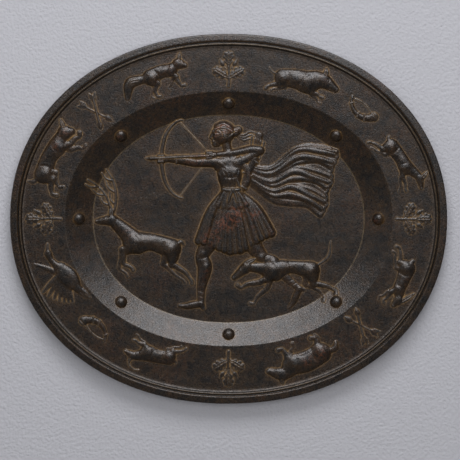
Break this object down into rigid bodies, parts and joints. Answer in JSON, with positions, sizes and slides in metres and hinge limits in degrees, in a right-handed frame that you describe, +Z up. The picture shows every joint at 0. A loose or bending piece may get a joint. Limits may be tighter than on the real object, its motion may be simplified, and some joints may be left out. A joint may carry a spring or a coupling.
{
  "type": "relief plaque",
  "caption": "Oval dish-shaped cast bronze wall plaque with a hunting scene in relief, domed bosses on a sloping ring and running beasts round the rim.",
  "frame": {"origin": "centre of the flat back face, where the plaque rests on the wall", "axes": "+Z up as it hangs; +Y into the wall, so the relief faces -Y; +X along the long axis of the oval, to the right as seen from in front"},
  "size_m": [0.5, 0.0257, 0.423],
  "materials": {
    "patinated_bronze": "dark brown-black patina, rubbed satin on the high points, dusty in the recesses"
  },
  "bodies": {
    "root": {"plaque": "patinated_bronze"}
  },
  "joints": []
}
